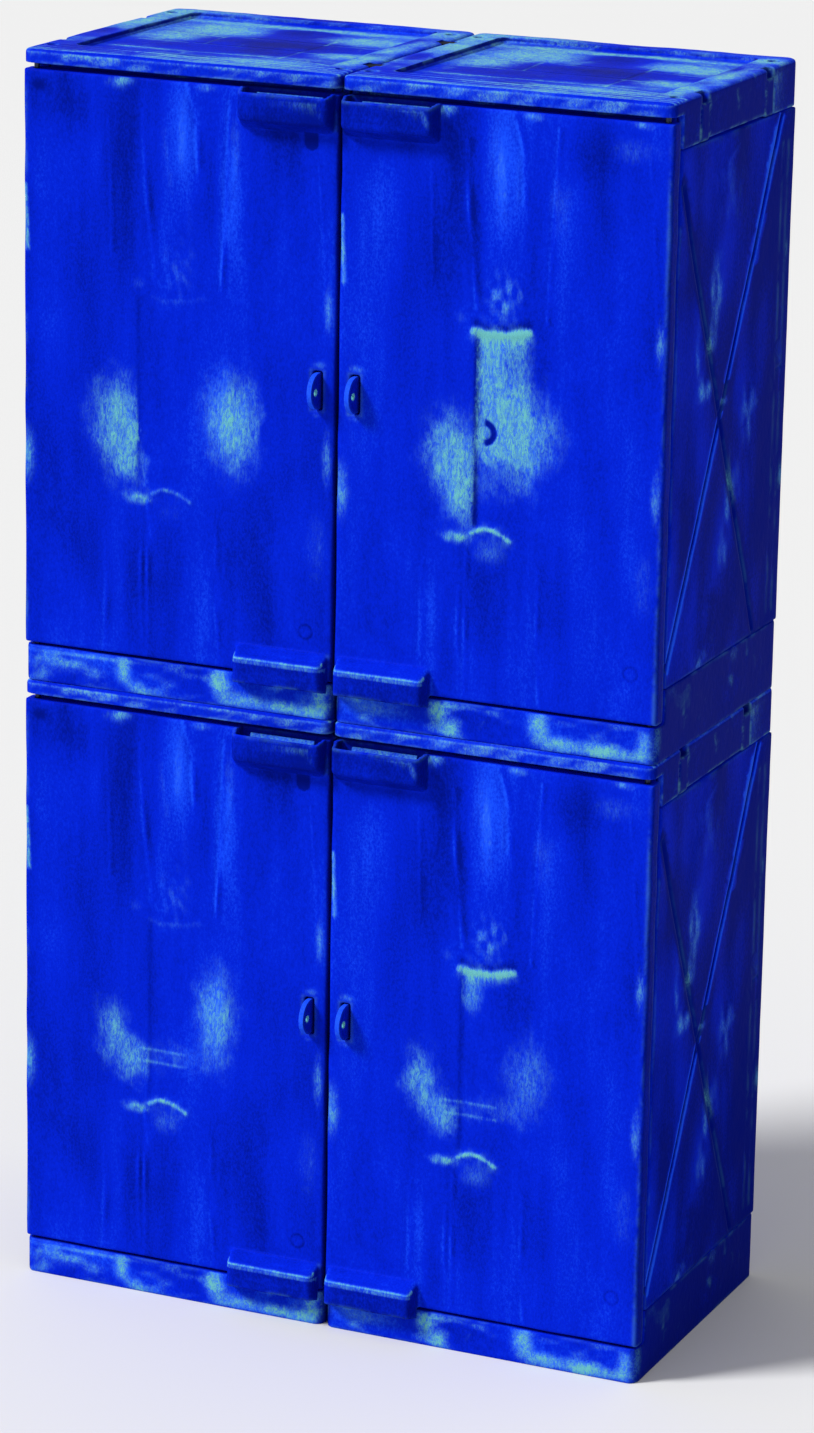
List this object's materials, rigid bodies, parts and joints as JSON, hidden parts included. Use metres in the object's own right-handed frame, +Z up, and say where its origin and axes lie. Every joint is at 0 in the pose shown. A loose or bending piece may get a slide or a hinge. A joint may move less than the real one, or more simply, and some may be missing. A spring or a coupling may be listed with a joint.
{
  "type": "locker cabinet",
  "caption": "Tall stackable plastic storage locker with leak-tray bases, single hinged doors with finger grips, shelves and padlock lugs.",
  "frame": {"origin": "on the floor, at the middle of the bounding box's underside", "axes": "+Z up, -Y towards the doors' front, +X to the right of a person facing the doors"},
  "size_m": [0.978, 0.503, 1.828],
  "materials": {
    "shell": "satin blue polyethylene, fine pebble grain",
    "door": "satin blue polyethylene, fine pebble grain",
    "shelf": "satin blue polyethylene",
    "latch": "ribbed blue polyethylene",
    "lug": "satin blue plastic",
    "clip": "black moulded plastic",
    "pin": "plain"
  },
  "bodies": {
    "cabinet": {"outer_side_lower_left": "shell", "inner_side_lower_left": "shell", "back_panel_lower_left": "shell", "shelf_lower_left": "shelf", "hinge_pins_lower_left": "pin", "lock_lug_lower_left": "lug", "base_tray_lower_left": "shell", "top_panel_lower_left": "shell", "outer_side_lower_right": "shell", "inner_side_lower_right": "shell", "back_panel_lower_right": "shell", "shelf_lower_right": "shelf", "hinge_pins_lower_right": "pin", "lock_lug_lower_right": "lug", "base_tray_lower_right": "shell", "top_panel_lower_right": "shell", "joining_clips_lower": "clip", "outer_side_upper_left": "shell", "inner_side_upper_left": "shell", "back_panel_upper_left": "shell", "shelf_upper_left": "shelf", "hinge_pins_upper_left": "pin", "lock_lug_upper_left": "lug", "base_tray_upper_left": "shell", "top_panel_upper_left": "shell", "outer_side_upper_right": "shell", "inner_side_upper_right": "shell", "back_panel_upper_right": "shell", "shelf_upper_right": "shelf", "hinge_pins_upper_right": "pin", "lock_lug_upper_right": "lug", "base_tray_upper_right": "shell", "top_panel_upper_right": "shell", "joining_clips_upper": "clip", "stacking_keys_left": "clip", "stacking_keys_right": "clip"},
    "door_lower_left": {"door_lower_left": "door"},
    "latch_upper_lower_left": {"latch_upper_lower_left": "latch"},
    "latch_lower_lower_left": {"latch_lower_lower_left": "latch"},
    "door_lower_right": {"door_lower_right": "door"},
    "latch_upper_lower_right": {"latch_upper_lower_right": "latch"},
    "latch_lower_lower_right": {"latch_lower_lower_right": "latch"},
    "door_upper_left": {"door_upper_left": "door"},
    "latch_upper_upper_left": {"latch_upper_upper_left": "latch"},
    "latch_lower_upper_left": {"latch_lower_upper_left": "latch"},
    "door_upper_right": {"door_upper_right": "door"},
    "latch_upper_upper_right": {"latch_upper_upper_right": "latch"},
    "latch_lower_upper_right": {"latch_lower_upper_right": "latch"}
  },
  "joints": [
    {"name": "door_lower_left_hinge", "type": "hinge", "parent": "cabinet", "child": "door_lower_left", "pos_m": [-0.474, -0.2095, 0.47], "axis": [0, 0, -1], "range_deg": [0, 170]},
    {"name": "latch_upper_lower_left_press", "type": "slide", "parent": "door_lower_left", "child": "latch_upper_lower_left", "axis": [0, 1, 0], "range_m": [0, 0.004], "stiffness_N_per_m": 500},
    {"name": "latch_lower_lower_left_press", "type": "slide", "parent": "door_lower_left", "child": "latch_lower_lower_left", "axis": [0, 1, 0], "range_m": [0, 0.004], "stiffness_N_per_m": 500},
    {"name": "door_lower_right_hinge", "type": "hinge", "parent": "cabinet", "child": "door_lower_right", "pos_m": [0.474, -0.2095, 0.47], "axis": [0, 0, 1], "range_deg": [0, 170]},
    {"name": "latch_upper_lower_right_press", "type": "slide", "parent": "door_lower_right", "child": "latch_upper_lower_right", "axis": [0, 1, 0], "range_m": [0, 0.004], "stiffness_N_per_m": 500},
    {"name": "latch_lower_lower_right_press", "type": "slide", "parent": "door_lower_right", "child": "latch_lower_lower_right", "axis": [0, 1, 0], "range_m": [0, 0.004], "stiffness_N_per_m": 500},
    {"name": "door_upper_left_hinge", "type": "hinge", "parent": "cabinet", "child": "door_upper_left", "pos_m": [-0.474, -0.2095, 1.384], "axis": [0, 0, -1], "range_deg": [0, 170]},
    {"name": "latch_upper_upper_left_press", "type": "slide", "parent": "door_upper_left", "child": "latch_upper_upper_left", "axis": [0, 1, 0], "range_m": [0, 0.004], "stiffness_N_per_m": 500},
    {"name": "latch_lower_upper_left_press", "type": "slide", "parent": "door_upper_left", "child": "latch_lower_upper_left", "axis": [0, 1, 0], "range_m": [0, 0.004], "stiffness_N_per_m": 500},
    {"name": "door_upper_right_hinge", "type": "hinge", "parent": "cabinet", "child": "door_upper_right", "pos_m": [0.474, -0.2095, 1.384], "axis": [0, 0, 1], "range_deg": [0, 170]},
    {"name": "latch_upper_upper_right_press", "type": "slide", "parent": "door_upper_right", "child": "latch_upper_upper_right", "axis": [0, 1, 0], "range_m": [0, 0.004], "stiffness_N_per_m": 500},
    {"name": "latch_lower_upper_right_press", "type": "slide", "parent": "door_upper_right", "child": "latch_lower_upper_right", "axis": [0, 1, 0], "range_m": [0, 0.004], "stiffness_N_per_m": 500}
  ]
}
